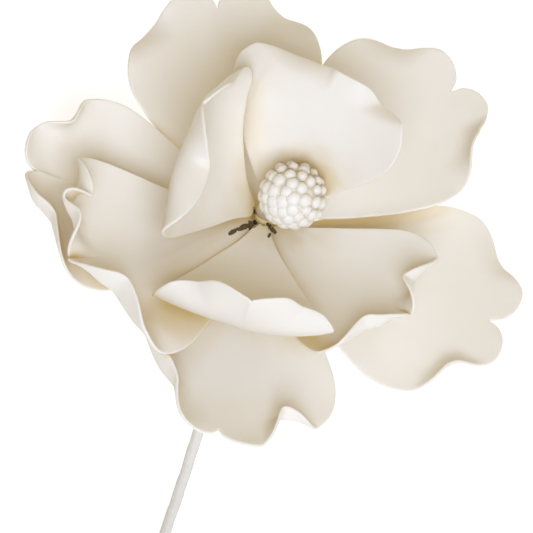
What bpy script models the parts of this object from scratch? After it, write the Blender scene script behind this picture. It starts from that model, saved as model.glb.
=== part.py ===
"""Magnolia flower of modelled sugar paste on a taped wire stem, lying on a table.

Ten petals cut with one cutter outline are cupped and frilled one by one and set round a small
receptacle, five outside and five inside. A knobbly seed cone stands in the middle. The wire comes
out of the receptacle, bends and lies along the table, so the head rests on two petal tips and
the stem. Metres, +Z up, the table at z = 0.
"""

import math
import random

import bmesh
import bpy
from mathutils import Matrix, Vector

MM = 0.001

# The head: where its centre stands over the table, and how it leans.
HEAD_PLACE = Vector((-4.0, 21.2, 19.4)) * MM
LEAN_DEG = 25.4  # between the flower's axis and the vertical
LEAN_HEADING_DEG = 66.5  # the way it leans, anticlockwise from +X

# The cutter, half of its outline from the notch at the tip to the foot, (along, across) in mm.
CUTTER_HALF = (
    (61.5, 0.0),
    (65.2, 1.6),
    (67.4, 5.4),
    (67.0, 10.2),
    (63.4, 13.8),
    (60.8, 16.0),
    (58.6, 18.9),
    (54.6, 23.0),
    (47.5, 26.2),
    (39.0, 26.0),
    (29.0, 21.6),
    (16.0, 13.2),
    (6.0, 5.6),
    (0.0, 1.9),
    (0.0, 0.0),
)
CUTTER_HEART = 38.0  # along, the middle that the rows of the mesh run round, mm
CUTTER_LENGTH = 67.4
CUTTER_HALF_WIDTH = 26.4
CUTTER_SHOULDER = 54.0  # along, where the lobes of the tip begin, mm
NOTCH_REACH = 5.4  # across, how far the notch opens at each side, mm
PASTE = 1.0 * MM  # thickness of the rolled paste
PETAL_ROWS = 13  # mesh squares across a petal

# The feet of the petals stand round the post of the receptacle in four levels.
FOOT_REACH = 3.4 * MM  # the feet's distance from the flower's axis
LEVEL_STEP = 1.75 * MM

# Each petal: azimuth round the flower's axis, level of its foot (0 lowest), size against the
# cutter, width against its length, how much of the notch is left, sway of the tip to the left
# (mm), rise of the midrib at foot, middle and tip, bend of the right and left half across
# (degrees), and rolls of the rim. A roll is (place, reach, degrees, depth in mm): places go from
# 0 at the notch to 1 at the foot, positive on the left; positive degrees roll to the front.
PETALS = {
    "inner_petal_1": dict(
        azimuth=61, level=2, size=0.71, width=(1.27, 1.34), tip=0.42, notch=0.0, sway=0,
        rise=(56, 64, 32), cup=(20, -26),
        rolls=((0.15, 0.20, -70, 8), (-0.23, 0.14, -70, 8)),
    ),
    "inner_petal_2": dict(
        azimuth=158, level=3, size=0.75, width=(1.12, 1.55), tip=0.62, notch=0.7, sway=0,
        rise=(30, 62, 120), cup=(40, 12),
        rolls=((0.25, 0.22, 115, 12), (-0.2, 0.2, 35, 10)),
    ),
    "inner_petal_3": dict(
        azimuth=208, level=2, size=0.97, width=(1.02, 1.12), tip=0.55, notch=1.0, sway=-4,
        rise=(8, 20, 30), cup=(26, -4),
        rolls=((-0.33, 0.13, 160, 11), (-0.14, 0.16, 90, 14), (0.22, 0.24, 110, 13)),
    ),
    "inner_petal_4": dict(
        azimuth=256, level=3, size=0.98, width=(0.87, 0.86), tip=0.62, notch=0.15, sway=0,
        rise=(2, 30, 142), cup=(12, 26),
        rolls=((-0.26, 0.17, 32, 11), (0.26, 0.17, 38, 11), (0.0, 0.18, -34, 12)),
    ),
    "inner_petal_5": dict(
        azimuth=316, level=2, size=0.76, width=(1.2, 1.03), tip=0.65, notch=0.5, sway=-2,
        rise=(4, 20, 35), cup=(10, 24),
        rolls=((-0.2, 0.24, 110, 9), (0.17, 0.17, 140, 9)),
    ),
    "outer_petal_1": dict(
        azimuth=35.5, level=1, size=0.98, width=(0.95, 1.06), tip=1.0, notch=1.0, sway=2,
        rise=(3, 8, 14), cup=(18, 18),
        rolls=((0.28, 0.12, -60, 7), (-0.31, 0.15, 80, 9)),
    ),
    "outer_petal_2": dict(
        azimuth=103.5, level=0, size=0.945, width=(1.04, 1.1), tip=1.0, notch=1.0, sway=-3,
        rise=(3, 10, 20), cup=(14, 18),
        rolls=((0.28, 0.12, -60, 8), (-0.28, 0.12, -70, 8)),
    ),
    "outer_petal_3": dict(
        azimuth=175, level=1, size=0.92, width=(1.0, 1.2), tip=1.0, notch=1.0, sway=0,
        rise=(3, 10, 16), cup=(22, 6),
        rolls=((-0.28, 0.12, 110, 8), (-0.12, 0.16, 50, 9), (0.2, 0.25, 110, 10)),
    ),
    "outer_petal_4": dict(
        azimuth=258, level=0, size=0.95, width=(1.1, 1.07), tip=1.0, notch=0.6, sway=-1,
        rise=(-3, 5, 28), cup=(18, -6),
        rolls=((0.24, 0.10, 130, 8), (-0.32, 0.28, 110, 12)),
    ),
    "outer_petal_5": dict(
        azimuth=335, level=0, size=0.97, width=(1.12, 1.1), tip=1.0, notch=1.0, sway=2,
        rise=(-6, 2, 10), cup=(4, 6),
        rolls=((-0.27, 0.12, 90, 7), (0.28, 0.12, -60, 8)),
    ),
}

# The receptacle, turned about the flower's axis: (radius, height over the lowest feet) in mm,
# down its outer side from the top of the post.
RECEPTACLE_PROFILE = (
    (2.6, 6.6),
    (2.6, -0.9),
    (5.6, -1.6),
    (6.0, -2.4),
    (4.4, -4.8),
    (2.5, -7.4),
    (1.9, -9.0),
)
WIRE_HOLE_RADIUS = 0.95 * MM

# The seed cone: an egg on a slanted neck, covered with beads, in the head's frame.
CONE_FOOT = 6.9 * MM  # height of the neck's foot on the flower's axis
NECK_RADIUS = 2.6 * MM
CONE_CENTRE = Vector((4.4, -1.4, 17.5)) * MM
CONE_RADIUS = 7.3 * MM
CONE_STRETCH = 1.06  # along the neck
CONE_HOLE_RADIUS = 1.15 * MM
CONE_HOLE_DEPTH = 6.4 * MM
BEAD_COUNT = 84  # over the whole egg, before those round the neck are left out
CONE_FINENESS = 5  # times the icosahedron is divided, so five points lie across a bead
BEAD_RADIUS = 1.62 * MM
BEAD_JITTER = 0.2  # share of a bead's radius
NECK_CLEARING = 0.84  # cosine of the angle round the neck that has no beads

# The stem: a wire inside a sleeve of wound paper tape.
TAPE_RADIUS = 1.6 * MM
TAPE_WALL = 0.62 * MM
WIRE_RADIUS = 0.6 * MM
WIRE_BARE_END = 2.0 * MM
# The wire's way inside the head, in the head's frame, in mm.
WIRE_IN_HEAD = ((2.1, -0.5, 11.7), (0.75, -0.17, 8.6), (0.0, 0.0, 5.2), (0.0, 0.0, -2.0))
TAPE_TOP = (0.0, 0.0, -9.3)  # the next point of the wire, where the tape begins
# From there to the cut end, (x, y) from the head's centre and height of the line, in mm.
STEM_LINE = (
    (-1.8, -4.2, 9.6),
    (-2.7, -6.2, 6.2),
    (-3.9, -8.9, 3.7),
    (-5.2, -12.0, 2.2),
    (-6.8, -16.0, 1.63),
    (-11.7, -34.5, 1.63),
    (-17.6, -55.4, 1.63),
    (-25.8, -80.2, 1.63),
    (-36.4, -108.3, 1.63),
)
STEM_STEP = 3.2 * MM

IVORY = (0.86, 0.80, 0.69, 1.0)
WHITE_PASTE = (0.90, 0.87, 0.80, 1.0)
TAPE_WHITE = (0.82, 0.80, 0.74, 1.0)
STEEL = (0.55, 0.55, 0.56, 1.0)


def clear_scene():
    for old in list(bpy.data.objects):
        bpy.data.objects.remove(old, do_unlink=True)


def material(name, colour, roughness, metallic=0.0):
    made = bpy.data.materials.new(name)
    made.use_nodes = True
    shader = made.node_tree.nodes["Principled BSDF"]
    shader.inputs["Base Color"].default_value = colour
    shader.inputs["Roughness"].default_value = roughness
    shader.inputs["Metallic"].default_value = metallic
    made.diffuse_color = colour
    return made


def add_object(name, mesh, collection, finish, parent=None):
    made = bpy.data.objects.new(name, mesh)
    collection.objects.link(made)
    if finish is not None:
        mesh.materials.append(finish)
    made.parent = parent
    return made


def smooth_path(points, share):
    """A point at a share of the way along a Catmull-Rom curve through the points."""
    spans = len(points) - 1
    place = min(max(share, 0.0), 1.0) * spans
    i = min(int(place), spans - 1)
    t = place - i
    a, b, c, d = (points[min(max(i + k, 0), spans)] for k in (-1, 0, 1, 2))
    return 0.5 * (
        2 * b + (c - a) * t + (2 * a - 5 * b + 4 * c - d) * t**2 + (3 * b - a - 3 * c + d) * t**3
    )


class Cutter:
    """The flat outline of a petal, read by its place along the rim."""

    STEPS = 400

    def __init__(self):
        half = [Vector(p) for p in CUTTER_HALF]
        self.line = [smooth_path(half, i / self.STEPS) for i in range(self.STEPS + 1)]
        self.run = [0.0]
        for a, b in zip(self.line, self.line[1:]):
            self.run.append(self.run[-1] + (b - a).length)

    def at(self, place):
        """Rim point in mm: place 0 is the notch and -1 or 1 the foot, positive on the left."""
        target = abs(place) * self.run[-1]
        low, high = 0, self.STEPS
        while high - low > 1:
            middle = (low + high) // 2
            if self.run[middle] <= target:
                low = middle
            else:
                high = middle
        span = self.run[high] - self.run[low]
        point = self.line[low].lerp(self.line[high], (target - self.run[low]) / span)
        return Vector((point.x, math.copysign(point.y, place)))


def rim_place(u, v):
    """Share out from the heart and place along the rim of a point of the square grid."""
    out = max(abs(u), abs(v))
    if out < 1e-6:
        return 0.0, 0.0
    u, v = u / out, v / out
    if v >= 1 - 1e-6:
        walk = u
    elif abs(u) >= 1 - 1e-6:
        walk = math.copysign(2 - v, u)
    else:
        walk = math.copysign(4 - abs(u), u)
    return out, -walk / 4


def bump(x):
    return 0.5 + 0.5 * math.cos(math.pi * x) if abs(x) < 1 else 0.0


class Petal:
    """One petal in its own frame: x out along the midrib, y to its left, z towards the front."""

    PROFILE_STEP = 0.5  # mm

    def __init__(self, cutter, size, width, tip, notch, sway, rise, cup, rolls, **_):
        self.cutter = cutter
        self.size, self.width, self.sway = size, width, sway
        self.tip, self.notch = tip, notch
        self.cup, self.rolls = cup, rolls
        length = CUTTER_LENGTH * size
        self.midrib = []
        place = Vector((0.0, 0.0))
        steps = int(length * 1.1 / self.PROFILE_STEP)
        for i in range(steps + 1):
            share = min(i * self.PROFILE_STEP / length, 1.0)
            if share < 0.5:
                angle = math.radians(rise[0] + (rise[1] - rise[0]) * share * 2)
            else:
                angle = math.radians(rise[1] + (rise[2] - rise[1]) * (share * 2 - 1))
            self.midrib.append((place.copy(), angle))
            place += Vector((math.cos(angle), math.sin(angle))) * self.PROFILE_STEP

    def blade(self, along, across):
        """The cupped blade with no rolls, in mm, for a point of the flat cut-out."""
        index = max(along, 0.0) / self.PROFILE_STEP
        low = min(int(index), len(self.midrib) - 2)
        (a, angle_a), (b, angle_b) = self.midrib[low], self.midrib[low + 1]
        middle = a.lerp(b, index - low)
        angle = angle_a + (angle_b - angle_a) * (index - low)
        side = 1 if across > 0 else 0
        half_width = CUTTER_HALF_WIDTH * self.size * self.width[side]
        bend = math.radians(self.cup[side]) / half_width
        if abs(bend) > 1e-6:
            reach = math.sin(bend * across) / bend
            lift = (1 - math.cos(bend * across)) / bend
        else:
            reach, lift = across, 0.0
        return Vector(
            (
                middle.x - math.sin(angle) * lift,
                reach,
                middle.y + math.cos(angle) * lift,
            )
        )

    def rim(self, place):
        """The flat cut-out's rim, with its own size and its own notch."""
        rim = self.cutter.at(place)
        if rim.x > CUTTER_HEART and abs(rim.y) < NOTCH_REACH:
            rim.x += (1 - self.notch) * (CUTTER_LENGTH - rim.x)
        if rim.x > CUTTER_SHOULDER:
            rim.x = CUTTER_SHOULDER + (rim.x - CUTTER_SHOULDER) * self.tip
        return Vector((rim.x, rim.y * self.width[1 if place > 0 else 0])) * self.size

    def point(self, u, v):
        """A point of the finished petal, in mm, for a point of the square grid."""
        out, place = rim_place(u, v)
        heart = Vector((CUTTER_HEART, 0.0)) * self.size
        rim = self.rim(place)
        flat = heart.lerp(rim, out)
        flat.y += self.sway * (flat.x / (CUTTER_LENGTH * self.size)) ** 2
        base = self.blade(flat.x, flat.y)
        ray = rim - heart
        inside = (1 - out) * ray.length
        outward, front = self.local_axes(flat, ray.normalized())
        for centre, reach, degrees, depth in self.rolls:
            over = depth - inside
            turn = math.radians(degrees) * bump((place - centre) / reach) * over / depth
            if over > 0 and abs(turn) > 1e-4:
                base += outward * (math.sin(turn) / turn - 1) * over
                base += front * (1 - math.cos(turn)) / turn * over
        return base

    def local_axes(self, flat, ray):
        """The way out to the rim and the way to the front, on the blade."""
        step = 0.1
        here = self.blade(flat.x, flat.y)
        outward = (here - self.blade(flat.x - ray.x * step, flat.y - ray.y * step)).normalized()
        along = self.blade(flat.x + step, flat.y) - self.blade(flat.x - step, flat.y)
        across = self.blade(flat.x, flat.y + step) - self.blade(flat.x, flat.y - step)
        return outward, along.cross(across).normalized()


def petal_object(name, sizes, cutter, collection, finish, head):
    shape = Petal(cutter, **sizes)
    mesh = bpy.data.meshes.new(name)
    bm = bmesh.new()
    bmesh.ops.create_grid(bm, x_segments=PETAL_ROWS, y_segments=PETAL_ROWS, size=1.0)
    for vertex in bm.verts:
        vertex.co = shape.point(vertex.co.x, vertex.co.y) * MM
    bmesh.ops.triangulate(bm, faces=bm.faces[:])
    bm.to_mesh(mesh)
    bm.free()
    mesh.shade_smooth()
    made = add_object(name, mesh, collection, finish, head)
    azimuth = math.radians(sizes["azimuth"])
    made.location = (
        FOOT_REACH * math.cos(azimuth),
        FOOT_REACH * math.sin(azimuth),
        sizes["level"] * LEVEL_STEP,
    )
    made.rotation_euler = (0.0, 0.0, azimuth)
    wall = made.modifiers.new("Paste", "SOLIDIFY")
    wall.thickness = PASTE
    wall.offset = 0.0
    return made


def head_frame():
    heading = math.radians(LEAN_HEADING_DEG)
    axis = Vector((-math.sin(heading), math.cos(heading), 0.0))
    return Matrix.Translation(HEAD_PLACE) @ Matrix.Rotation(math.radians(LEAN_DEG), 4, axis)


def head_empty(collection):
    head = bpy.data.objects.new("head", None)
    collection.objects.link(head)
    head.matrix_world = head_frame()
    return head


def receptacle(collection, finish, head):
    """The turned boss under the petals with its post between their feet and the wire's hole."""
    bm = bmesh.new()
    top, bottom = RECEPTACLE_PROFILE[0][1], RECEPTACLE_PROFILE[-1][1]
    bore = ((WIRE_HOLE_RADIUS / MM, bottom), (WIRE_HOLE_RADIUS / MM, top))
    ring = [bm.verts.new((r * MM, 0.0, h * MM)) for r, h in (*RECEPTACLE_PROFILE, *bore)]
    for a, b in zip(ring, ring[1:] + ring[:1]):
        bm.edges.new((a, b))
    mesh = bpy.data.meshes.new("receptacle")
    bm.to_mesh(mesh)
    bm.free()
    made = add_object("receptacle", mesh, collection, finish, head)
    turn = made.modifiers.new("Turned", "SCREW")
    turn.steps = turn.render_steps = 24
    turn.use_merge_vertices = True
    turn.merge_threshold = 0.00002
    turn.use_smooth_shade = True
    return made


def cone_frame():
    """The egg's own frame: its centre, with +Z along the neck away from its foot."""
    neck = CONE_CENTRE - Vector((0.0, 0.0, CONE_FOOT))
    return Matrix.Translation(CONE_CENTRE) @ neck.to_track_quat("Z", "Y").to_matrix().to_4x4()


def primitive(name, shape, collection, **sizes):
    """A mesh object from one of bmesh's primitives."""
    bm = bmesh.new()
    shape(bm, **sizes)
    mesh = bpy.data.meshes.new(name)
    bm.to_mesh(mesh)
    bm.free()
    return add_object(name, mesh, collection, None)


def bead_places():
    """Centre and radius of each bead on a round egg, spread by the golden angle and jittered."""
    golden = math.pi * (3 - math.sqrt(5))
    draw = random.Random(5)
    for i in range(BEAD_COUNT):
        height = 1 - (2 * i + 1) / BEAD_COUNT
        if height < -NECK_CLEARING:
            continue
        ring = math.sqrt(1 - height * height)
        place = Vector((ring * math.cos(i * golden), ring * math.sin(i * golden), height))
        shift = Vector([draw.uniform(-1, 1) for _ in range(3)]) * BEAD_JITTER * BEAD_RADIUS
        place = (place * CONE_RADIUS + shift).normalized() * CONE_RADIUS
        yield place, BEAD_RADIUS * draw.uniform(0.92, 1.06)


def beaded_radius(ray, beads):
    """How far the beaded surface lies from the egg's centre along a ray of length one."""
    far = CONE_RADIUS
    for centre, radius in beads:
        along = ray.dot(centre)
        reach = along * along - centre.length_squared + radius * radius
        if along > 0 and reach > 0:
            far = max(far, along + math.sqrt(reach))
    return far


def centre_cone(collection, helpers, finish, head):
    """The seed cone, one body: a beaded egg joined to its neck, then drilled for the wire."""
    frame = cone_frame()
    foot = (CONE_CENTRE - Vector((0.0, 0.0, CONE_FOOT))).length
    rise = CONE_CENTRE.z - CONE_FOOT
    cone = primitive(
        "centre_cone",
        bmesh.ops.create_icosphere,
        collection,
        subdivisions=CONE_FINENESS,
        radius=1.0,
    )
    beads = list(bead_places())
    for vertex in cone.data.vertices:
        vertex.co *= beaded_radius(vertex.co, beads)
    cone.data.transform(frame @ Matrix.Diagonal((1.0, 1.0, CONE_STRETCH, 1.0)))
    neck = primitive(
        "neck",
        bmesh.ops.create_cone,
        helpers,
        cap_ends=True,
        segments=20,
        radius1=NECK_RADIUS,
        radius2=NECK_RADIUS * 1.2,
        depth=rise,
    )
    for vertex in neck.data.vertices:
        if vertex.co.z > 0:
            vertex.co += Vector((CONE_CENTRE.x, CONE_CENTRE.y, 0.0))
    neck.data.transform(Matrix.Translation((0.0, 0.0, CONE_FOOT + rise / 2)))
    hole = primitive(
        "wire_hole",
        bmesh.ops.create_cone,
        helpers,
        cap_ends=True,
        segments=12,
        radius1=CONE_HOLE_RADIUS,
        radius2=CONE_HOLE_RADIUS,
        depth=2 * CONE_HOLE_DEPTH,
    )
    hole.data.transform(frame @ Matrix.Translation((0.0, 0.0, -foot)))
    for operation, other in (("UNION", neck), ("DIFFERENCE", hole)):
        step = cone.modifiers.new(other.name, "BOOLEAN")
        step.operation = operation
        step.object = other
        other.hide_render = True
        other.display_type = "WIRE"
    cone.data.shade_smooth()
    cone.data.materials.append(finish)
    for made in (cone, neck, hole):
        made.parent = head
    return cone


def stem_line():
    """Points along the wire every few mm, and the index of the one where the tape begins."""
    head = head_frame()
    centre = Vector((HEAD_PLACE.x, HEAD_PLACE.y, 0.0))
    bends = [head @ (Vector(p) * MM) for p in (*WIRE_IN_HEAD, TAPE_TOP)]
    bends += [centre + Vector(p) * MM for p in STEM_LINE]
    spans = len(bends) - 1
    points = []
    for i in range(spans):
        if i == len(WIRE_IN_HEAD):
            tape_start = len(points)
        steps = max(1, round((bends[i + 1] - bends[i]).length / STEM_STEP))
        points += [smooth_path(bends, (i + k / steps) / spans) for k in range(steps)]
    return points + [bends[-1]], tape_start


def tube(name, points, radius, collection, finish, caps):
    curve = bpy.data.curves.new(name, "CURVE")
    curve.dimensions = "3D"
    curve.bevel_depth = radius
    curve.bevel_resolution = 2
    curve.use_fill_caps = caps
    line = curve.splines.new("POLY")
    line.points.add(len(points) - 1)
    for target, place in zip(line.points, points):
        target.co = (*place, 1.0)
    return add_object(name, curve, collection, finish)


def stem(collection, tape_finish, wire_finish):
    """The wire from the cone to the cut end, and the tape round it below the receptacle."""
    points, tape_start = stem_line()
    tube("stem_wire", points, WIRE_RADIUS, collection, wire_finish, True)
    end = points[-1] + (points[-2] - points[-1]).normalized() * WIRE_BARE_END
    sleeve = tube(
        "stem_tape", [*points[tape_start:-1], end], TAPE_RADIUS, collection, tape_finish, False
    )
    wall = sleeve.modifiers.new("Wound paper", "SOLIDIFY")
    wall.thickness = TAPE_WALL
    wall.offset = -1.0
    return sleeve


def main():
    clear_scene()
    flower = bpy.data.collections.new("magnolia_flower")
    helpers = bpy.data.collections.new("cone_helpers")
    for group in (flower, helpers):
        bpy.context.scene.collection.children.link(group)
    head = head_empty(flower)
    paste = material("petal_paste", IVORY, 0.5)
    cone_paste = material("cone_paste", WHITE_PASTE, 0.55)
    cutter = Cutter()
    for name, sizes in PETALS.items():
        petal_object(name, sizes, cutter, flower, paste, head)
    receptacle(flower, paste, head)
    centre_cone(flower, helpers, cone_paste, head)
    stem(flower, material("paper_tape", TAPE_WHITE, 0.8), material("steel_wire", STEEL, 0.35, 1.0))


main()
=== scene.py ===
import math
import random

import bmesh
import bpy
from mathutils import Matrix, Vector, noise
from mathutils.bvhtree import BVHTree


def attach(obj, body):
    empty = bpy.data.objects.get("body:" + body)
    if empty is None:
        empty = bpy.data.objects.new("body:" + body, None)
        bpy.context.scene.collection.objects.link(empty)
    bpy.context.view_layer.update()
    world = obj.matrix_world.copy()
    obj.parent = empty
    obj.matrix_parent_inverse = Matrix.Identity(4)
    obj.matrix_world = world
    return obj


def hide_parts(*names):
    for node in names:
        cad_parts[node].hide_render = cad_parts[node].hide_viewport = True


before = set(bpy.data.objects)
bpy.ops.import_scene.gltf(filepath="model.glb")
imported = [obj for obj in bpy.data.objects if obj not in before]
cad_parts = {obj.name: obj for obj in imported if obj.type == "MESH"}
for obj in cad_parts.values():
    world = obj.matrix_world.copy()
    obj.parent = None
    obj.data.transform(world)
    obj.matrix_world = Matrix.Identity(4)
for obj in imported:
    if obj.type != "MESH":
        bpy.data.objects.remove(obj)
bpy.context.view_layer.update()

mm = 0.001
scene = bpy.context.scene

head = dict(
    place=(-4.0, 21.2, 19.4),  # of the foot of the flower, mm
    lean=25.4,  # degrees from the vertical
    heading=66.5,  # the way it leans, anticlockwise from +X
    footReach=3.4,  # mm from the flower's axis to the feet of the petals
    levelStep=1.75,  # mm between the levels of the feet
)


class Link:  # a node's output, so that shader maths reads as plain expressions
    def __init__(self, tree, socket=None):
        self.tree = tree
        self.socket = socket

    def node(self, kind, settings=None, sockets=None, out=0):
        made = self.tree.nodes.new(kind)
        for key, value in (settings or {}).items():
            setattr(made, key, value)
        for key, value in (sockets or {}).items():
            if isinstance(value, Link):
                self.tree.links.new(value.socket, made.inputs[key])
            else:
                made.inputs[key].default_value = value
        return Link(self.tree, made.outputs[out])

    def maths(self, operation, *values):
        return self.node("ShaderNodeMath", {"operation": operation}, dict(enumerate(values)))

    def __add__(self, other):
        return self.maths("ADD", self, other)

    def __radd__(self, other):
        return self.maths("ADD", other, self)

    def __sub__(self, other):
        return self.maths("SUBTRACT", self, other)

    def __rsub__(self, other):
        return self.maths("SUBTRACT", other, self)

    def __mul__(self, other):
        return self.maths("MULTIPLY", self, other)

    def __rmul__(self, other):
        return self.maths("MULTIPLY", other, self)

    def blend(self, low, high):  # a colour between two, by this value
        return self.node(
            "ShaderNodeMix",
            {"data_type": "RGBA"},
            {0: self, 6: colour(low), 7: colour(high)},
            out=2,
        )


def colour(value):
    return value if isinstance(value, Link) else (*value, 1.0)


def newFinish(name, **fixed):
    made = bpy.data.materials.new(name)
    made.use_nodes = True
    shader = made.node_tree.nodes["Principled BSDF"]
    for key, value in fixed.items():
        shader.inputs[key].default_value = value
    start = Link(made.node_tree)
    return made, start, shader


def plug(shader, **links):
    for key, link in links.items():
        link.tree.links.new(link.socket, shader.inputs[key])


def noiseOf(start, where, size, detail=2.0, roughness=0.5):  # size in mm, gives 0 to 1
    return start.node(
        "ShaderNodeTexNoise",
        {"noise_dimensions": "3D"},
        {"Vector": where, "Scale": 1000.0 / size, "Detail": detail, "Roughness": roughness},
    )


def smoothPath(points, share):
    spans = len(points) - 1
    place = min(max(share, 0.0), 1.0) * spans
    i = min(int(place), spans - 1)
    t = place - i
    a, b, c, d = (points[min(max(i + k, 0), spans)] for k in (-1, 0, 1, 2))
    return 0.5 * (
        2 * b + (c - a) * t + (2 * a - 5 * b + 4 * c - d) * t**2 + (3 * b - a - 3 * c + d) * t**3
    )


def headMatrix():
    heading = math.radians(head["heading"])
    axis = Vector((-math.sin(heading), math.cos(heading), 0.0))
    turn = Matrix.Rotation(math.radians(head["lean"]), 4, axis)
    return Matrix.Translation(Vector(head["place"]) * mm) @ turn


# in degrees: azimuth round the head, rise of the midrib at foot, middle and tip, cup of each half
# level counts the feet from the lowest, sway bends the tip sideways, mm
# a roll of the rim is (place along the rim, reach, degrees, depth in mm)
petals = {
    "innerPetal1": dict(
        node="inner_petal_1", azimuth=61, level=2, size=0.71, width=(1.27, 1.34),
        tip=0.42, notch=0.0, sway=0, rise=(56, 64, 32), cup=(20, -26),
        rolls=((0.15, 0.2, -70, 8), (-0.23, 0.14, -70, 8)),
    ),
    "innerPetal2": dict(
        node="inner_petal_2", azimuth=158, level=3, size=0.75, width=(1.12, 1.55),
        tip=0.62, notch=0.7, sway=0, rise=(30, 62, 120), cup=(40, 12),
        rolls=((0.25, 0.22, 115, 12), (-0.2, 0.2, 35, 10)),
    ),
    "innerPetal3": dict(
        node="inner_petal_3", azimuth=208, level=2, size=0.97, width=(1.02, 1.12),
        tip=0.55, notch=1.0, sway=-4, rise=(8, 20, 30), cup=(26, -4),
        rolls=((-0.33, 0.13, 160, 11), (-0.14, 0.16, 90, 14), (0.22, 0.24, 110, 13)),
    ),
    "innerPetal4": dict(
        node="inner_petal_4", azimuth=256, level=3, size=0.98, width=(0.87, 0.86),
        tip=0.62, notch=0.15, sway=0, rise=(2, 30, 142), cup=(12, 26),
        rolls=((-0.26, 0.17, 32, 11), (0.26, 0.17, 38, 11), (0.0, 0.18, -34, 12)),
    ),
    "innerPetal5": dict(
        node="inner_petal_5", azimuth=316, level=2, size=0.76, width=(1.2, 1.03),
        tip=0.65, notch=0.5, sway=-2, rise=(4, 20, 35), cup=(10, 24),
        rolls=((-0.2, 0.24, 110, 9), (0.17, 0.17, 140, 9)),
    ),
    "outerPetal1": dict(
        node="outer_petal_1", azimuth=35.5, level=1, size=0.98, width=(0.95, 1.06),
        tip=1.0, notch=1.0, sway=2, rise=(3, 8, 14), cup=(18, 18),
        rolls=((0.28, 0.12, -60, 7), (-0.31, 0.15, 80, 9)),
    ),
    "outerPetal2": dict(
        node="outer_petal_2", azimuth=103.5, level=0, size=0.945, width=(1.04, 1.1),
        tip=1.0, notch=1.0, sway=-3, rise=(3, 10, 20), cup=(14, 18),
        rolls=((0.28, 0.12, -60, 8), (-0.28, 0.12, -70, 8)),
    ),
    "outerPetal3": dict(
        node="outer_petal_3", azimuth=175, level=1, size=0.92, width=(1.0, 1.2),
        tip=1.0, notch=1.0, sway=0, rise=(3, 10, 16), cup=(22, 6),
        rolls=((-0.28, 0.12, 110, 8), (-0.12, 0.16, 50, 9), (0.2, 0.25, 110, 10)),
    ),
    "outerPetal4": dict(
        node="outer_petal_4", azimuth=258, level=0, size=0.95, width=(1.1, 1.07),
        tip=1.0, notch=0.6, sway=-1, rise=(-3, 5, 28), cup=(18, -6),
        rolls=((0.24, 0.1, 130, 8), (-0.32, 0.28, 110, 12)),
    ),
    "outerPetal5": dict(
        node="outer_petal_5", azimuth=335, level=0, size=0.97, width=(1.12, 1.1),
        tip=1.0, notch=1.0, sway=2, rise=(-6, 2, 10), cup=(4, 6),
        rolls=((-0.27, 0.12, 90, 7), (0.28, 0.12, -60, 8)),
    ),
}


def footMatrix(petal):
    turn = math.radians(petal["azimuth"])
    foot = Vector((math.cos(turn), math.sin(turn), 0.0)) * head["footReach"]
    foot.z = petal["level"] * head["levelStep"]
    return headMatrix() @ Matrix.Translation(foot * mm) @ Matrix.Rotation(turn, 4, "Z")


cutter = dict(
    half=(
        (61.5, 0.0), (65.2, 1.6), (67.4, 5.4), (67.0, 10.2), (63.4, 13.8), (60.8, 16.0),
        (58.6, 18.9), (54.6, 23.0), (47.5, 26.2), (39.0, 26.0), (29.0, 21.6), (16.0, 13.2),
        (6.0, 5.6), (0.0, 1.9), (0.0, 0.0),
    ),  # half of its edge from the notch at the tip to the foot, (along, across) in mm
    heart=38.0,  # where the rays to the edge start, mm from the foot
    length=67.4,
    halfWidth=26.4,
    shoulder=54.0,  # mm from the foot, where the tip that a petal may shorten begins
    notchReach=5.4,  # mm to each side
)


def cutterRun():
    steps = 400
    half = [Vector(p) for p in cutter["half"]]
    line = [smoothPath(half, i / steps) for i in range(steps + 1)]
    run = [0.0]
    for a, b in zip(line, line[1:]):
        run.append(run[-1] + (b - a).length)
    return line, run


cutterLine, cutterLength = cutterRun()


def cutterAt(place):
    target = abs(place) * cutterLength[-1]
    low, high = 0, len(cutterLine) - 1
    while high - low > 1:
        middle = (low + high) // 2
        if cutterLength[middle] <= target:
            low = middle
        else:
            high = middle
    span = cutterLength[high] - cutterLength[low]
    point = cutterLine[low].lerp(cutterLine[high], (target - cutterLength[low]) / span)
    return Vector((point.x, math.copysign(point.y, place)))


def rimOf(petal, place):  # the rim of a petal's flat cut-out, from -1 to 1 round it
    rim = cutterAt(place)
    if rim.x > cutter["heart"] and abs(rim.y) < cutter["notchReach"]:
        rim.x += (1 - petal["notch"]) * (cutter["length"] - rim.x)
    if rim.x > cutter["shoulder"]:
        rim.x = cutter["shoulder"] + (rim.x - cutter["shoulder"]) * petal["tip"]
    return Vector((rim.x, rim.y * petal["width"][1 if place > 0 else 0])) * petal["size"]


def bump(x):  # 1 in the middle, 0 from -1 and 1 on
    return 0.5 + 0.5 * math.cos(math.pi * x) if abs(x) < 1 else 0.0


paste = dict(
    rings=46,  # mesh rings from a petal's heart to its rim
    rimRings=4,  # the last of them, round the edge
    edge=0.40,  # half of the thickness at the rim, mm
    middle=0.50,  # and in the middle of the petal
    thinning=9.0,  # mm over which the paste was thinned with the ball tool
    wave=0.26,  # soft unevenness of the dried paste, mm
    waveSize=13.0,
    frill=0.34,  # extra unevenness of the rim, mm
    frillSize=6.5,
    frillDepth=5.0,
    gluedFoot=6.0,  # mm from the foot that stay as they are glued
    freeing=14.0,  # mm over which the unevenness then comes in
    midribStep=0.5,  # mm
)


def midribOf(petal):
    step = paste["midribStep"]
    length = cutter["length"] * petal["size"]
    rise = petal["rise"]
    midrib, place = [], Vector((0.0, 0.0))
    for i in range(int(length * 1.1 / step) + 1):
        share = min(i * step / length, 1.0) * 2
        if share < 1:
            angle = math.radians(rise[0] + (rise[1] - rise[0]) * share)
        else:
            angle = math.radians(rise[1] + (rise[2] - rise[1]) * (share - 1))
        midrib.append((place.copy(), angle))
        place += Vector((math.cos(angle), math.sin(angle))) * step
    return midrib


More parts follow.
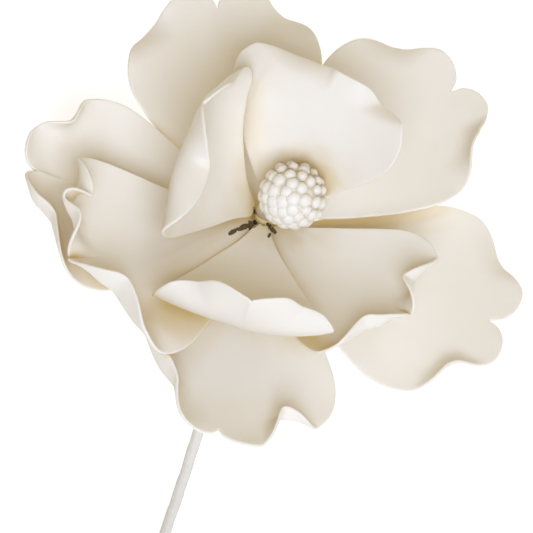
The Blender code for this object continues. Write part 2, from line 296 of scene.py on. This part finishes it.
def bladePoint(petal, midrib, flat):  # the cupped blade without its rolls
    index = max(flat.x, 0.0) / paste["midribStep"]
    low = min(int(index), len(midrib) - 2)
    (a, angleA), (b, angleB) = midrib[low], midrib[low + 1]
    middle = a.lerp(b, index - low)
    angle = angleA + (angleB - angleA) * (index - low)
    side = 1 if flat.y > 0 else 0
    bend = math.radians(petal["cup"][side])
    bend /= cutter["halfWidth"] * petal["size"] * petal["width"][side]
    reach, lift = flat.y, 0.0
    if abs(bend) > 1e-6:
        reach = math.sin(bend * flat.y) / bend
        lift = (1 - math.cos(bend * flat.y)) / bend
    return Vector((middle.x - math.sin(angle) * lift, reach, middle.y + math.cos(angle) * lift))


def bladeAxes(petal, midrib, flat, ray):  # the way out to the rim and the way to the front
    small = 0.1
    x, y = Vector((small, 0.0)), Vector((0.0, small))
    outward = bladePoint(petal, midrib, flat) - bladePoint(petal, midrib, flat - ray * small)
    along = bladePoint(petal, midrib, flat + x) - bladePoint(petal, midrib, flat - x)
    across = bladePoint(petal, midrib, flat + y) - bladePoint(petal, midrib, flat - y)
    return outward.normalized(), along.cross(across).normalized()


def petalPoint(petal, midrib, place, inside, rim):
    heart = Vector((cutter["heart"], 0.0)) * petal["size"]
    ray = rim - heart
    flat = rim - ray.normalized() * inside
    flat.y += petal["sway"] * (flat.x / (cutter["length"] * petal["size"])) ** 2
    base = bladePoint(petal, midrib, flat)
    outward, front = bladeAxes(petal, midrib, flat, ray.normalized())
    for centre, reach, degrees, depth in petal["rolls"]:
        over = depth - inside
        turn = math.radians(degrees) * bump((place - centre) / reach) * over / depth
        if over > 0 and abs(turn) > 1e-4:
            base += outward * (math.sin(turn) / turn - 1) * over
            base += front * (1 - math.cos(turn)) / turn * over
    return base, flat


def ringPlace(ring, reach):  # how far inside the rim a ring lies, and half of the paste there
    edge, last = paste["edge"], paste["rings"] - paste["rimRings"]
    if ring > last:
        turn = (paste["rings"] - ring) / paste["rimRings"] * math.pi / 2
        return edge * (1 - math.cos(turn)), edge * math.sin(turn)
    inside = edge + (reach - edge) * (1 - ring / last)
    thin = min((inside - edge) / paste["thinning"], 1.0)
    return inside, edge + (paste["middle"] - edge) * math.sin(thin * math.pi / 2)


def gridPlace(u, v):  # ring number and place along the rim of a point of the square grid
    out = max(abs(u), abs(v))
    if out < 1e-6:
        return 0, 0.0
    u, v = u / out, v / out
    if v >= 1 - 1e-6:
        walk = u
    elif abs(u) >= 1 - 1e-6:
        walk = math.copysign(2 - v, u)
    else:
        walk = math.copysign(4 - abs(u), u)
    return round(out * paste["rings"]), -walk / 4


def finishMesh(bm, name, material, node):
    mesh = bpy.data.meshes.new(name)
    bm.to_mesh(mesh)
    bm.free()
    mesh.shade_smooth()
    mesh.materials.append(material)
    made = bpy.data.objects.new(name, mesh)
    scene.collection.objects.link(made)
    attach(made, "root")
    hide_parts(node)
    return made


def makePetal(name, petal, material, seed):
    midrib = midribOf(petal)
    shift = Vector((seed * 7.3, seed * 3.1, seed * 5.7))  # each petal dries in its own way
    bm = bmesh.new()
    rows = 2 * paste["rings"]
    bmesh.ops.create_grid(bm, x_segments=rows, y_segments=rows, size=1.0)
    half = bm.verts.layers.float.new("half")
    along = bm.verts.layers.float.new("along")
    across = bm.verts.layers.float.new("across")
    wave = {}
    for vertex in bm.verts:
        ring, place = gridPlace(vertex.co.x, vertex.co.y)
        rim = rimOf(petal, place)
        reach = (rim - Vector((cutter["heart"], 0.0)) * petal["size"]).length
        inside, vertex[half] = ringPlace(ring, reach)
        point, flat = petalPoint(petal, midrib, place, inside, rim)
        vertex.co = point
        vertex[along], vertex[across] = flat
        where = Vector((flat.x, flat.y, 0.0))
        free = min(max((flat.x - paste["gluedFoot"]) / paste["freeing"], 0.0), 1.0)
        soft = noise.noise(where / paste["waveSize"] + shift) * paste["wave"]
        near = max(0.0, 1 - inside / paste["frillDepth"]) ** 2
        frill = noise.noise(where / paste["frillSize"] + shift * 2) * paste["frill"] * near
        wave[vertex.index] = (soft + frill) * free
    bm.normal_update()
    bm.verts.ensure_lookup_table()
    normals = [vertex.normal.copy() for vertex in bm.verts]
    for vertex, normal in zip(bm.verts, normals):
        vertex.co += normal * wave[vertex.index]
    bm.normal_update()
    front = bm.faces[:]
    copied = bmesh.ops.duplicate(bm, geom=bm.verts[:] + bm.edges[:] + front)["geom"]
    backFaces = [item for item in copied if isinstance(item, bmesh.types.BMFace)]
    backVerts = {item for item in copied if isinstance(item, bmesh.types.BMVert)}
    for vertex in bm.verts:
        side = -1 if vertex in backVerts else 1
        vertex.co += vertex.normal * vertex[half] * side
    bmesh.ops.reverse_faces(bm, faces=backFaces)
    rimVerts = [vertex for vertex in bm.verts if vertex[half] < 1e-5]
    bmesh.ops.remove_doubles(bm, verts=rimVerts, dist=1e-4)
    uv = bm.loops.layers.uv.new("cutOut")  # the flat cut-out, 100 mm square
    for face in bm.faces:
        for loop in face.loops:
            loop[uv].uv = (loop.vert[along] / 100, loop.vert[across] / 100 + 0.5)
    bmesh.ops.transform(bm, matrix=footMatrix(petal) @ Matrix.Scale(mm, 4), verts=bm.verts[:])
    return finishMesh(bm, name, material, petal["node"])


paintedShade = dict(  # painted shade: darker, warmer paste colour where other paste stands close
    reach=20.0,  # mm that are searched for other paste
    rays=36,
    gap=0.15,  # mm from the surface to where a ray starts
    grazing=0.05,  # rays flatter than this are left out
    soften=3,  # times that it is smoothed over the mesh
    start=0.0,  # how hidden the paste is where the painted shade starts
    full=0.66,  # and where it covers all
    cloud=0.08,  # unevenness of its edge
)


def surfaceTree(pieces):
    vertices, faces = [], []
    for piece in pieces:
        first = len(vertices)
        vertices += [v.co.copy() for v in piece.data.vertices]
        faces += [[first + i for i in face.vertices] for face in piece.data.polygons]
    return BVHTree.FromPolygons(vertices, faces)


def spreadDirections(count):  # spread evenly over a ball, from the top down
    golden = math.pi * (3 - math.sqrt(5))
    for i in range(count):
        height = 1 - (2 * i + 1) / count
        ring = math.sqrt(1 - height * height)
        yield Vector((ring * math.cos(i * golden), ring * math.sin(i * golden), height))


def paintShade(pieces):  # writes how hidden each point is to the attribute that the finishes read as painted shade
    tree = surfaceTree(pieces)
    rays = list(spreadDirections(paintedShade["rays"]))
    reach = paintedShade["reach"] * mm
    for piece in pieces:
        mesh = piece.data
        hidden = []
        for vertex in mesh.vertices:
            normal = vertex.normal
            start = vertex.co + normal * paintedShade["gap"] * mm
            seen = blocked = 0.0
            for ray in rays:
                facing = ray.dot(normal)
                if facing > paintedShade["grazing"]:
                    seen += facing
                    distance = tree.ray_cast(start, ray, reach)[3]
                    if distance is not None:
                        blocked += facing * (1 - distance / reach)
            hidden.append(blocked / seen)
        bm = bmesh.new()
        bm.from_mesh(mesh)
        bm.verts.ensure_lookup_table()
        for _ in range(paintedShade["soften"]):
            hidden = [
                (hidden[v.index] + sum(hidden[e.other_vert(v).index] for e in v.link_edges))
                / (1 + len(v.link_edges))
                for v in bm.verts
            ]
        bm.free()
        attribute = mesh.attributes.new("hidden", "FLOAT", "POINT")
        attribute.data.foreach_set("value", hidden)


def paintedShadeMask(start, cloud):  # painted shade mask: 0 on open paste to 1 in the deepest folds, with a cloudy edge
    hidden = start.node("ShaderNodeAttribute", {"attribute_name": "hidden"}, out="Fac")
    edge = hidden + cloud * paintedShade["cloud"] - paintedShade["cloud"] / 2
    return start.node(
        "ShaderNodeMapRange",
        {"interpolation_type": "SMOOTHSTEP"},
        {"Value": edge, "From Min": paintedShade["start"], "From Max": paintedShade["full"]},
    )


# the third tone is painted shade, the dark warm colour of recesses
petalTones = dict(light=(0.93, 0.90, 0.84), shade=(0.90, 0.86, 0.78), paintedRecessShade=(0.72, 0.56, 0.25))


def petalPaste():
    made, start, shader = newFinish(
        "sugarPaste", **{"Subsurface Weight": 0.1, "Subsurface Scale": 0.0012, "IOR": 1.42}
    )
    shader.inputs["Subsurface Radius"].default_value = (1.0, 0.85, 0.65)
    where = start.node("ShaderNodeTexCoord", out="Object")
    flat = start.node("ShaderNodeUVMap", {"uv_map": "cutOut"})
    broad = noiseOf(start, where, 26, 2)
    cloud = noiseOf(start, where, 7, 3)
    grain = noiseOf(start, where, 0.55, 3, 0.6)
    stretched = start.node(
        "ShaderNodeMapping", sockets={"Vector": flat, "Scale": (6.0, 60.0, 1.0)}
    )
    streaks = start.node(
        "ShaderNodeTexNoise", sockets={"Vector": stretched, "Scale": 1.0, "Detail": 3.0}
    )
    clean = (broad * 0.7 + cloud * 0.3).blend(petalTones["light"], petalTones["shade"])
    # painted shade: the paste turns darker and warmer where other paste stands close
    tone = paintedShadeMask(start, cloud).blend(clean, petalTones["paintedRecessShade"])
    height = cloud * 0.5 + grain * 0.10 + streaks * 0.3
    relief = start.node(
        "ShaderNodeBump", sockets={"Height": height, "Strength": 0.35, "Distance": 0.0002}
    )
    plug(shader, **{"Base Color": tone, "Roughness": cloud * 0.16 + 0.50, "Normal": relief})
    return made


coneTones = dict(
    light=(0.95, 0.925, 0.875),
    shade=(0.93, 0.895, 0.83),
    pressedCreaseShade=(0.93, 0.89, 0.81),
    looseCreaseShade=(0.66, 0.57, 0.42),  # painted shade between beads that weren't pressed together
)


def conePaste():
    made, start, shader = newFinish(
        "conePaste", **{"Subsurface Weight": 0.05, "Subsurface Scale": 0.0015, "IOR": 1.42}
    )
    where = start.node("ShaderNodeTexCoord", out="Object")
    broad = noiseOf(start, where, 4, 2)
    grain = noiseOf(start, where, 0.4, 3, 0.6)
    clean = broad.blend(coneTones["light"], coneTones["shade"])
    loose = start.node("ShaderNodeAttribute", {"attribute_name": "loose"}, out="Fac")
    # painted shade in the creases between beads, darker where the beads stand loose
    creaseShade = loose.blend(coneTones["pressedCreaseShade"], coneTones["looseCreaseShade"])
    tone = paintedShadeMask(start, broad).blend(clean, creaseShade)
    relief = start.node(
        "ShaderNodeBump",
        sockets={"Height": grain * 0.3 + broad * 0.7, "Strength": 0.4, "Distance": 0.00012},
    )
    plug(shader, **{"Base Color": tone, "Roughness": broad * 0.2 + 0.34, "Normal": relief})
    return made


tapeTones = dict(
    paper=((0.665, 0.645, 0.585), (0.80, 0.78, 0.72)),
    # the second pair is painted shadow, the near-black tone of the sheets between the petal feet
    paintedShadow=((0.040, 0.028, 0.008), (0.20, 0.15, 0.065)),
)


def tapePaper():
    made, start, shader = newFinish("tapePaper")
    flat = start.node("ShaderNodeUVMap", {"uv_map": "wound"})
    where = start.node("ShaderNodeTexCoord", out="Object")
    stretched = start.node(
        "ShaderNodeMapping", sockets={"Vector": flat, "Scale": (90.0, 8.0, 1.0)}
    )
    crepe = start.node(
        "ShaderNodeTexNoise", sockets={"Vector": stretched, "Scale": 1.0, "Detail": 4.0}
    )
    fibre = noiseOf(start, where, 0.5, 4, 0.65)
    tone = (crepe * 0.6 + fibre * 0.4).blend(*tapeTones["paper"])
    relief = start.node(
        "ShaderNodeBump",
        sockets={"Height": crepe * 0.7 + fibre * 0.3, "Strength": 0.6, "Distance": 0.0001},
    )
    plug(shader, **{"Base Color": tone, "Roughness": fibre * 0.2 + 0.62, "Normal": relief})
    return made


def shadowSheetFinish():
    made, start, shader = newFinish("shadowSheetFinish")
    where = start.node("ShaderNodeTexCoord", out="Object")
    crepe = noiseOf(start, where, 0.5, 4, 0.6)
    # painted shadow: dark olive sheets standing in for shade between the petal feet
    tone = crepe.blend(*tapeTones["paintedShadow"])
    relief = start.node(
        "ShaderNodeBump", sockets={"Height": crepe, "Strength": 0.6, "Distance": 0.0001}
    )
    plug(shader, **{"Base Color": tone, "Roughness": crepe * 0.2 + 0.6, "Normal": relief})
    return made


def wireSteel():
    made, start, shader = newFinish("wireSteel", Metallic=1.0)
    where = start.node("ShaderNodeTexCoord", out="Object")
    drawn = start.node(
        "ShaderNodeMapping",
        sockets={"Vector": where, "Rotation": (0.0, 0.0, 0.35), "Scale": (1.0, 0.03, 1.0)},
    )
    lines = noiseOf(start, drawn, 0.12, 3)
    tone = lines.blend((0.46, 0.46, 0.47), (0.66, 0.66, 0.67))
    relief = start.node(
        "ShaderNodeBump", sockets={"Height": lines, "Strength": 0.4, "Distance": 0.00003}
    )
    plug(shader, **{"Base Color": tone, "Roughness": lines * 0.25 + 0.22, "Normal": relief})
    return made


boss = dict(
    profile=(
        (2.6, 6.6), (2.6, -0.9), (5.6, -1.6), (6.0, -2.4), (4.4, -4.8), (2.5, -7.4), (1.9, -9.0),
    ),  # radius and height over the foot of the flower, mm
    bore=0.95,
    boreWall=0.1,  # mm round the bore that stay smooth
    steps=64,
    dents=0.12,  # mm
    dentSize=2.0,
    dentsBelow=-1.0,
)


def makeBoss(material):
    bm = bmesh.new()
    top, bottom = boss["profile"][0][1], boss["profile"][-1][1]
    corners = [*boss["profile"], (boss["bore"], bottom), (boss["bore"], top)]
    ring = [bm.verts.new((r, 0.0, h)) for r, h in corners]
    lines = [bm.edges.new(pair) for pair in zip(ring, ring[1:] + ring[:1])]
    bmesh.ops.subdivide_edges(bm, edges=lines, cuts=3)
    bmesh.ops.spin(
        bm, geom=bm.verts[:] + bm.edges[:], cent=(0, 0, 0), axis=(0, 0, 1), dvec=(0, 0, 0),
        angle=2 * math.pi, steps=boss["steps"], use_merge=True, use_duplicate=False,
    )
    bmesh.ops.remove_doubles(bm, verts=bm.verts[:], dist=1e-4)
    bmesh.ops.recalc_face_normals(bm, faces=bm.faces[:])
    bm.normal_update()
    for vertex in bm.verts:
        outside = vertex.co.xy.length > boss["bore"] + boss["boreWall"]
        if outside and vertex.co.z < boss["dentsBelow"]:
            dent = noise.noise(vertex.co / boss["dentSize"]) * boss["dents"]
            vertex.co += vertex.normal * dent
    bmesh.ops.transform(bm, matrix=headMatrix() @ Matrix.Scale(mm, 4), verts=bm.verts[:])
    return finishMesh(bm, "pasteBoss", material, "receptacle")


seedCone = dict(
    foot=6.9,  # mm over the foot of the flower
    centre=(4.4, -1.4, 17.5),
    radius=7.3,  # to the middle of the beads, mm
    core=7.5,
    stretch=1.06,  # along its axis
    neck=2.6,
    neckFlare=1.2,
    beads=84,
    bead=1.62,
    beadSpread=(0.92, 1.06),
    jitter=0.2,  # of a bead's radius
    neckClearing=0.84,  # no beads below this share of the radius
    press=(-0.62, -0.62, 0.48),  # the side that was pressed by a thumb while it was soft
    pressReach=0.35,  # how far the pressing goes past the middle
    pressed=0.35,  # how deep its beads are pushed in, mm
    width=0.98,  # of a bead, of its radius
    widening=0.16,  # what pressing adds to its width
    flattening=0.34,  # and takes from its height
    uneven=0.05,  # of a bead's width
    dents=0.035,  # of its radius
    dentScale=0.9,
    seed=5,
    unevenSeed=11,
)


def beadPlaces():
    draw = random.Random(seedCone["seed"])
    radius, bead = seedCone["radius"], seedCone["bead"]
    for place in spreadDirections(seedCone["beads"]):
        if place.z < -seedCone["neckClearing"]:
            continue
        shift = Vector([draw.uniform(-1, 1) for _ in range(3)]) * seedCone["jitter"] * bead
        place = (place * radius + shift).normalized() * radius
        yield place, bead * draw.uniform(*seedCone["beadSpread"])


def pushAt(place, press):  # 0 where the beads stand free to 1 where the thumb pressed most
    reach = seedCone["pressReach"]
    return max(0.0, place.normalized().dot(press) + reach) / (1 + reach)


def makeSeedCone(material):
    centre = Vector(seedCone["centre"])
    foot = Vector((0.0, 0.0, seedCone["foot"]))
    turn = (centre - foot).to_track_quat("Z", "Y").to_matrix().to_4x4()
    egg = Matrix.Translation(centre) @ turn @ Matrix.Diagonal((1.0, 1.0, seedCone["stretch"], 1.0))
    bm = bmesh.new()
    loose = bm.verts.layers.float.new("loose")
    press = (headMatrix().to_3x3() @ turn.to_3x3()).inverted() @ Vector(seedCone["press"])
    press.normalize()
    core = bmesh.ops.create_icosphere(bm, subdivisions=5, radius=seedCone["core"])["verts"]
    for vertex in core:
        vertex[loose] = 1.0 - pushAt(vertex.co, press)
    bmesh.ops.transform(bm, matrix=egg, verts=core)
    draw = random.Random(seedCone["unevenSeed"])
    least, most = 1 - seedCone["uneven"], 1 + seedCone["uneven"]
    for number, (place, radius) in enumerate(beadPlaces()):
        ball = bmesh.ops.create_icosphere(bm, subdivisions=3, radius=radius)["verts"]
        push = pushAt(place, press)
        place -= place.normalized() * seedCone["pressed"] * push
        wide = seedCone["width"] + seedCone["widening"] * push
        high = 1.0 - seedCone["flattening"] * push
        sides = [wide * draw.uniform(least, most) for _ in range(2)]
        squeeze = Matrix.Diagonal((*sides, high, 1.0))
        for vertex in ball:
            vertex[loose] = 1.0 - push
            where = vertex.co * seedCone["dentScale"] + Vector((number, 0, 0))
            vertex.co *= 1 + seedCone["dents"] * noise.noise(where)
        out = place.to_track_quat("Z", "Y").to_matrix().to_4x4()
        bmesh.ops.transform(bm, matrix=egg @ Matrix.Translation(place) @ out @ squeeze, verts=ball)
    height = centre.z - seedCone["foot"]
    neck = bmesh.ops.create_cone(
        bm,
        cap_ends=True,
        segments=48,
        radius1=seedCone["neck"],
        radius2=seedCone["neck"] * seedCone["neckFlare"],
        depth=height,
    )["verts"]
    for vertex in neck:
        if vertex.co.z > 0:
            vertex.co += Vector((centre.x, centre.y, 0.0))
        vertex.co.z += seedCone["foot"] + height / 2
    bmesh.ops.transform(bm, matrix=headMatrix() @ Matrix.Scale(mm, 4), verts=bm.verts[:])
    return finishMesh(bm, "seedCone", material, "centre_cone")


shadowScraps = dict(  # painted shadow: thin dark sheets laid where shade falls between the feet of the petals
    places=(
        (-7.2, -2.5, 2.8, 1.1, 34), (-4.7, -1.2, 3.4, 1.2, 22), (-2.4, -0.5, 2.6, 2.2, 30),
        (-1.3, 2.6, 3.0, 0.9, 118), (2.4, -1.4, 3.4, 1.3, -48), (1.9, -3.4, 1.3, 0.6, 60),
    ),  # mm right of and above the middle of the head, length, width, degrees
    above=200.0,  # mm over the table, where they are dropped from
    lift=0.22,  # mm over the paste below
    wall=0.2,
    narrowing=0.5,  # towards the two ends
    torn=0.7,  # unevenness of the ragged edges
    tearScale=2.3,
)


def makeShadowScraps(pieces, material):
    tree = surfaceTree(pieces)
    middle = Vector(head["place"])
    bm = bmesh.new()
    for number, (x, y, length, width, degrees) in enumerate(shadowScraps["places"]):
        scrap = bmesh.ops.create_grid(bm, x_segments=10, y_segments=5, size=0.5)["verts"]
        turn = Matrix.Rotation(math.radians(degrees), 3, "Z")
        for vertex in scrap:
            along, across = vertex.co.xy * 2
            torn = 1 - shadowScraps["narrowing"] * along**2
            tear = Vector((along * shadowScraps["tearScale"], 0.0, number * 3.7 + across))
            torn += shadowScraps["torn"] * noise.noise(tear)
            flat = Vector((along * length / 2, across * width / 2 * torn, 0.0))
            place = middle + turn @ flat + Vector((x, y, 0.0))
            start = Vector((place.x, place.y, shadowScraps["above"])) * mm
            hit = tree.ray_cast(start, Vector((0.0, 0.0, -1.0)))[0]
            vertex.co = hit + Vector((0.0, 0.0, shadowScraps["lift"] * mm))
    made = finishMesh(bm, "footShadowScraps", material, "receptacle")
    wall = made.modifiers.new("Wall", "SOLIDIFY")
    wall.thickness = shadowScraps["wall"] * mm
    return made


tape = dict(
    radius=1.6,
    wall=0.62,
    clearance=0.1,  # mm between the tape and the wire
    lap=8.5,  # mm along the stem for one turn of the tape
    step=0.16,  # height of the tape's edge, mm
    stepWidth=0.08,  # of a lap
    lumps=0.10,  # mm
    lumpSize=7.0,
    sides=40,
    spacing=0.7,  # mm between the rings
    fine=60,  # points of the path between two bends
    inHead=((2.1, -0.5, 11.7), (0.75, -0.17, 8.6), (0.0, 0.0, 5.2), (0.0, 0.0, -2.0)),
    top=(0.0, 0.0, -9.3),
    line=(
        (-1.8, -4.2, 9.6), (-2.7, -6.2, 6.2), (-3.9, -8.9, 3.7), (-5.2, -12.0, 2.2),
        (-6.8, -16.0, 1.63), (-11.7, -34.5, 1.63), (-17.6, -55.4, 1.63), (-25.8, -80.2, 1.63),
        (-36.4, -108.3, 1.63),
    ),  # mm from under the head, over the table
    bareEnd=2.0,  # mm of wire past the tape
)


def stemPath():
    matrix = headMatrix()
    centre = Vector((head["place"][0], head["place"][1], 0.0)) * mm
    bends = [matrix @ (Vector(p) * mm) for p in (*tape["inHead"], tape["top"])]
    bends += [centre + Vector(p) * mm for p in tape["line"]]
    spans = len(bends) - 1
    first = len(tape["inHead"])
    fine = tape["fine"]
    steps = (spans - first) * fine
    points = [smoothPath(bends, (first + i / fine) / spans) for i in range(steps + 1)]
    run = [0.0]
    for a, b in zip(points, points[1:]):
        run.append(run[-1] + (b - a).length)
    return points, run


def pathPoint(points, run, target):
    low = max(i for i in range(len(run) - 1) if run[i] <= max(target, 0.0))
    share = (target - run[low]) / (run[low + 1] - run[low])
    return points[low].lerp(points[low + 1], share), (points[low + 1] - points[low]).normalized()


def makeTape(material):
    points, lengths = stemPath()
    length = lengths[-1] - tape["bareEnd"] * mm
    rows = round(length / (tape["spacing"] * mm))
    bm = bmesh.new()
    bmesh.ops.create_grid(bm, x_segments=rows, y_segments=tape["sides"], size=1.0)
    uv = bm.loops.layers.uv.new("wound")
    for face in bm.faces:
        for loop in face.loops:
            x, y = (loop.vert.co.x + 1) / 2, (loop.vert.co.y + 1) / 2
            loop[uv].uv = (x * length / 0.1, y * 0.1)  # 100 mm square, 10 mm round the stem
    up = Vector((0.0, 0.0, 1.0))
    for vertex in bm.verts:
        share, turn = (vertex.co.x + 1) / 2, (vertex.co.y + 1) * math.pi
        centre, forward = pathPoint(points, lengths, share * length)
        side = forward.cross(up).normalized()
        rise = side.cross(forward)
        run = share * length / mm
        lap = (run / tape["lap"] + turn / (2 * math.pi)) % 1.0
        edge = min(lap / tape["stepWidth"], 1.0) - lap  # the edge steps up, the lap falls away
        where = Vector((run / tape["lumpSize"], math.cos(turn), math.sin(turn)))
        lumps = (noise.noise(where) - 0.5) * tape["lumps"]
        radius = tape["radius"] - tape["step"] + tape["step"] * edge + lumps
        vertex.co = centre + (side * math.cos(turn) + rise * math.sin(turn)) * radius * mm
    bmesh.ops.remove_doubles(bm, verts=bm.verts[:], dist=1e-6)
    bmesh.ops.recalc_face_normals(bm, faces=bm.faces[:])
    made = finishMesh(bm, "woundTape", material, "stem_tape")
    wall = made.modifiers.new("Wall", "SOLIDIFY")
    wall.thickness = (tape["wall"] - tape["clearance"]) * mm
    wall.offset = -1.0
    return made


floor = dict(
    tones=((0.50, 0.50, 0.51), (0.52, 0.52, 0.53)),
    glow=0.68,  # a lit table top, so that it comes out white under the flower
    half=3.0,  # m
    drop=0.2,  # mm under the flower
)


def makeFloor():
    made, start, shader = newFinish("tableTop", Roughness=0.7)
    where = start.node("ShaderNodeTexCoord", out="Object")
    plug(shader, **{"Base Color": noiseOf(start, where, 60, 2).blend(*floor["tones"])})
    shader.inputs["Emission Color"].default_value = (1.0, 1.0, 1.0, 1.0)
    shader.inputs["Emission Strength"].default_value = floor["glow"]
    bm = bmesh.new()
    bmesh.ops.create_grid(bm, x_segments=4, y_segments=4, size=floor["half"])
    mesh = bpy.data.meshes.new("table")
    bm.to_mesh(mesh)
    bm.free()
    mesh.materials.append(made)
    table = bpy.data.objects.new("table", mesh)
    table.location.z = -floor["drop"] * mm
    scene.collection.objects.link(table)


view = dict(
    elevation=85.0,  # degrees over the table
    distance=0.55,  # m
    sensor=36.0,  # mm
    pixel=0.257,  # mm of the flower's head that one pixel of the picture shows
    frame=533,  # pixels across the picture
    headPixel=(262.0, 225.0),  # the foot of the flower in it
)


def makeCamera():
    rise = math.radians(view["elevation"])
    right = Vector((1.0, 0.0, 0.0))
    up = Vector((0.0, math.sin(rise), math.cos(rise)))
    back = right.cross(up)
    middle = view["frame"] / 2
    place = Vector(head["place"]) * mm + back * view["distance"]
    place += right * (middle - view["headPixel"][0]) * view["pixel"] * mm
    place -= up * (middle - view["headPixel"][1]) * view["pixel"] * mm
    data = bpy.data.cameras.new("camera")
    data.sensor_width = view["sensor"]
    data.lens = view["sensor"] * view["distance"] / (view["frame"] * view["pixel"] * mm)
    data.clip_start, data.clip_end = 0.01, 20.0
    camera = bpy.data.objects.new("camera", data)
    turn = Matrix((right, up, back)).transposed().to_4x4()
    camera.matrix_world = Matrix.Translation(place) @ turn
    scene.collection.objects.link(camera)
    scene.camera = camera


lamps = {  # place and size in m, power in W
    "key": dict(place=(0.09, -0.41, 1.13), size=0.8, power=11.3, tint=(0.835, 0.965, 1.25)),
    "back": dict(place=(0.55, 0.75, 0.90), size=0.8, power=1.3, tint=(1.0, 0.90, 0.72)),
}
studio = dict(tint=(1.0, 0.72, 0.20), strength=0.31)  # the same light from all sides


def makeLamps():
    for name, lamp in lamps.items():
        data = bpy.data.lights.new(name, "AREA")
        data.shape = "DISK"
        data.size, data.energy, data.color = lamp["size"], lamp["power"], lamp["tint"]
        made = bpy.data.objects.new(name, data)
        made.location = lamp["place"]
        made.rotation_euler = (-Vector(lamp["place"])).to_track_quat("-Z", "Y").to_euler()
        scene.collection.objects.link(made)
    world = bpy.data.worlds.new("studio")
    world.use_nodes = True
    background = world.node_tree.nodes["Background"]
    background.inputs["Color"].default_value = colour(studio["tint"])
    background.inputs["Strength"].default_value = studio["strength"]
    scene.world = world


makeCamera()
makeLamps()
makeFloor()
print("camera, lamps and table are set")

petalFinish = petalPaste()
headPieces = []
for number, (name, petal) in enumerate(petals.items()):
    headPieces.append(makePetal(name, petal, petalFinish, number + 1))
print("petals are cut and shaped:", len(petals))

headPieces.append(makeBoss(petalFinish))
# painted shadow: dark sheets laid over the paste between the petal feet
makeShadowScraps(headPieces, shadowSheetFinish())
headPieces.append(makeSeedCone(conePaste()))
print("boss, scraps and seed cone are in place")
# painted shade: occlusion of each point, which the finishes turn into darker, warmer colour
paintShade(headPieces)
print("petal dust is brushed on")

makeTape(tapePaper())
steel = wireSteel()
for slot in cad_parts["stem_wire"].material_slots:
    slot.material = steel
print("stem is wound")

scene.view_settings.view_transform = "Standard"
